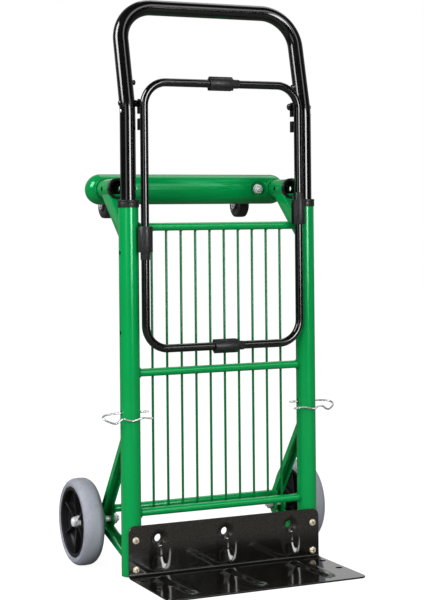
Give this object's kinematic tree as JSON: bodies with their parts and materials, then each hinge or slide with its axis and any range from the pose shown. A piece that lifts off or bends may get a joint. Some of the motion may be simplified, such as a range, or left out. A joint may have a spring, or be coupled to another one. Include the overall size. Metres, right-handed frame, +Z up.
{
  "type": "convertible hand truck",
  "caption": "Upright tubular hand truck with a folded toe plate, wheels, castors, a telescoping looped handle and a folding hoop that holds a bag open.",
  "frame": {"origin": "on the floor under the middle of the bounding box, with the truck standing on its toe plate and wheels", "axes": "+X to the right as seen from the load side, the toe plate points to -Y, +Z up along the uprights"},
  "size_m": [0.4386, 0.3836, 0.9239],
  "materials": {
    "green_powder_coat": "gloss powder coat over steel tube and sheet",
    "black_gloss_paint": "gloss paint over steel tube and sheet",
    "black_plastic": "satin moulded plastic",
    "grey_rubber": "satin moulded rubber",
    "bright_zinc": "bright zinc plate",
    "yellow_zinc": "yellow passivated zinc plate"
  },
  "bodies": {
    "frame": {"castor_beam": "green_powder_coat", "deck_bottom_rail": "green_powder_coat", "deck_middle_rail": "green_powder_coat", "deck_rod_01": "green_powder_coat", "deck_rod_02": "green_powder_coat", "deck_rod_03": "green_powder_coat", "deck_rod_04": "green_powder_coat", "deck_rod_05": "green_powder_coat", "deck_rod_06": "green_powder_coat", "deck_rod_07": "green_powder_coat", "deck_rod_08": "green_powder_coat", "deck_rod_09": "green_powder_coat", "deck_rod_10": "green_powder_coat", "deck_top_rail": "green_powder_coat", "left_axle_bolt": "bright_zinc", "left_axle_nut": "bright_zinc", "left_castor_nut": "bright_zinc", "left_castor_stem": "bright_zinc", "left_castor_strut": "green_powder_coat", "left_handle_socket": "green_powder_coat", "left_socket_collar": "black_plastic", "left_toe_bolt_lower": "yellow_zinc", "left_toe_bolt_upper": "yellow_zinc", "left_upright": "green_powder_coat", "left_upright_collar": "black_plastic", "left_wheel_bracket": "green_powder_coat", "rear_cross_tube": "green_powder_coat", "right_axle_bolt": "bright_zinc", "right_axle_nut": "bright_zinc", "right_castor_nut": "bright_zinc", "right_castor_stem": "bright_zinc", "right_castor_strut": "green_powder_coat", "right_handle_socket": "green_powder_coat", "right_socket_collar": "black_plastic", "right_toe_bolt_lower": "yellow_zinc", "right_toe_bolt_upper": "yellow_zinc", "right_upright": "green_powder_coat", "right_upright_collar": "black_plastic", "right_wheel_bracket": "green_powder_coat", "toe_plate": "black_gloss_paint"},
    "handle": {"handle": "black_gloss_paint", "left_pivot_pin": "black_gloss_paint", "right_pivot_pin": "black_gloss_paint"},
    "bag_hoop": {"bag_hoop": "black_gloss_paint"},
    "left_wheel": {"left_tyre": "grey_rubber", "left_wheel_hub": "black_plastic"},
    "left_castor": {"left_castor_fork": "bright_zinc", "left_castor_axle": "bright_zinc"},
    "left_castor_roller": {"left_castor_wheel": "black_plastic"},
    "left_retaining_clip": {"left_r_clip": "bright_zinc"},
    "right_wheel": {"right_tyre": "grey_rubber", "right_wheel_hub": "black_plastic"},
    "right_castor": {"right_castor_fork": "bright_zinc", "right_castor_axle": "bright_zinc"},
    "right_castor_roller": {"right_castor_wheel": "black_plastic"},
    "right_retaining_clip": {"right_r_clip": "bright_zinc"},
    "left_bag_clip": {"bag_clip_left": "black_plastic"},
    "right_bag_clip": {"bag_clip_right": "black_plastic"},
    "top_bag_clip": {"bag_clip_top": "black_plastic"},
    "bottom_bag_clip": {"bag_clip_bottom": "black_plastic"}
  },
  "joints": [
    {"name": "handle_slide", "type": "slide", "parent": "frame", "child": "handle", "axis": [0, 0, 1], "range_m": [0, 0.254]},
    {"name": "hoop_fold", "type": "hinge", "parent": "handle", "child": "bag_hoop", "pos_m": [0, -0.01025, 0.752], "axis": [-1, 0, 0], "range_deg": [0, 90]},
    {"name": "left_wheel_spin", "type": "hinge", "parent": "frame", "child": "left_wheel", "pos_m": [-0.202, 0.09975, 0.071], "axis": [1, 0, 0], "continuous": true},
    {"name": "left_castor_swivel", "type": "hinge", "parent": "frame", "child": "left_castor", "pos_m": [-0.125, 0.14625, 0.617], "axis": [0, 1, 0], "continuous": true},
    {"name": "left_castor_roll", "type": "hinge", "parent": "left_castor", "child": "left_castor_roller", "pos_m": [-0.125, 0.16975, 0.5907], "axis": [1, 0, 0], "continuous": true},
    {"name": "left_clip_pull", "type": "slide", "parent": "frame", "child": "left_retaining_clip", "axis": [-1, 0, 0], "range_m": [0, 0.06]},
    {"name": "right_wheel_spin", "type": "hinge", "parent": "frame", "child": "right_wheel", "pos_m": [0.202, 0.09975, 0.071], "axis": [1, 0, 0], "continuous": true},
    {"name": "right_castor_swivel", "type": "hinge", "parent": "frame", "child": "right_castor", "pos_m": [0.125, 0.14625, 0.617], "axis": [0, 1, 0], "continuous": true},
    {"name": "right_castor_roll", "type": "hinge", "parent": "right_castor", "child": "right_castor_roller", "pos_m": [0.125, 0.16975, 0.5907], "axis": [1, 0, 0], "continuous": true},
    {"name": "right_clip_pull", "type": "slide", "parent": "frame", "child": "right_retaining_clip", "axis": [1, 0, 0], "range_m": [0, 0.06]},
    {"name": "left_bag_clip_slide", "type": "slide", "parent": "bag_hoop", "child": "left_bag_clip", "axis": [0, 0, 1], "range_m": [-0.04, 0.04]},
    {"name": "right_bag_clip_slide", "type": "slide", "parent": "bag_hoop", "child": "right_bag_clip", "axis": [0, 0, 1], "range_m": [-0.04, 0.04]},
    {"name": "top_bag_clip_slide", "type": "slide", "parent": "bag_hoop", "child": "top_bag_clip", "axis": [1, 0, 0], "range_m": [-0.04, 0.04]},
    {"name": "bottom_bag_clip_slide", "type": "slide", "parent": "bag_hoop", "child": "bottom_bag_clip", "axis": [1, 0, 0], "range_m": [-0.04, 0.04]}
  ]
}
